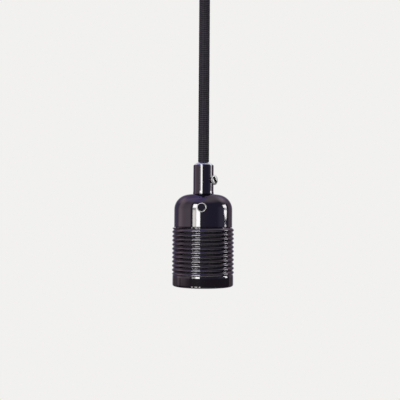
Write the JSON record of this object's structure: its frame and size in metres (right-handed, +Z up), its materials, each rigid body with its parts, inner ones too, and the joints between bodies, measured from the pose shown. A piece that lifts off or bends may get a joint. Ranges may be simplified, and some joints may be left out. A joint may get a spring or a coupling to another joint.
{
  "type": "pendant light fitting",
  "caption": "Black metal pendant lampholder with a domed cap, a cord grip and a threaded barrel sleeve, hung on a short textile cord from a small ceiling rose.",
  "frame": {"origin": "middle of the ceiling face, where the rose meets the ceiling", "axes": "+Z up into the ceiling along the cord, -Y towards the viewer, +X to the viewer's right"},
  "size_m": [0.0632, 0.06, 0.229],
  "materials": {
    "black_metal": "glossy black plate",
    "nickel": "bright nickel",
    "zinc_steel": "zinc plated",
    "textile": "braided textile",
    "porcelain": "white glaze",
    "brass": "bright brass",
    "brown_core": "plain",
    "blue_core": "plain",
    "green_core": "plain"
  },
  "bodies": {
    "hanger": {"ceiling_rose": "black_metal", "rose_bracket": "zinc_steel", "rose_screws": "black_metal", "rose_gland": "black_metal", "gland_nut": "zinc_steel", "cord": "textile", "cord_grip": "black_metal", "lock_nut": "zinc_steel", "dome": "black_metal", "earth_eyelet": "nickel", "earth_terminal": "zinc_steel", "earth_screw": "nickel", "earth_wire": "green_core", "live_wire": "brown_core", "neutral_wire": "blue_core"},
    "interior": {"insulating_ring": "porcelain", "porcelain_body": "porcelain", "screw_shell": "nickel", "shell_rivets": "nickel", "live_terminal": "brass", "neutral_terminal": "brass", "terminal_screws": "nickel", "contact_leaf": "brass"},
    "contact": {"contact_button": "brass"},
    "sleeve": {"sleeve": "black_metal"},
    "clamp_screw": {"clamp_screw": "nickel"}
  },
  "joints": [
    {"name": "sleeve_turn", "type": "hinge", "parent": "interior", "child": "sleeve", "pos_m": [0, 0, -0.21], "axis": [0, 0, -1], "range_deg": [0, 720]},
    {"name": "interior_drop", "type": "slide", "parent": "hanger", "child": "interior", "axis": [0, 0, -1], "range_m": [0, 0.0055], "deforming": ["live_wire", "neutral_wire"]},
    {"name": "contact_press", "type": "slide", "parent": "interior", "child": "contact", "axis": [0, 0, 1], "range_m": [0, 0.0018], "stiffness_N_per_m": 2000, "springref_m": -0.0005, "deforming": ["contact_leaf"]},
    {"name": "clamp_turn", "type": "hinge", "parent": "hanger", "child": "clamp_screw", "pos_m": [0, 0, -0.16], "axis": [0.7547, -0.6561, 0], "range_deg": [0, 720]}
  ],
  "couplings": [
    {"joint": "sleeve_turn", "follows": "interior_drop", "rad_per_m": 2284.8}
  ]
}
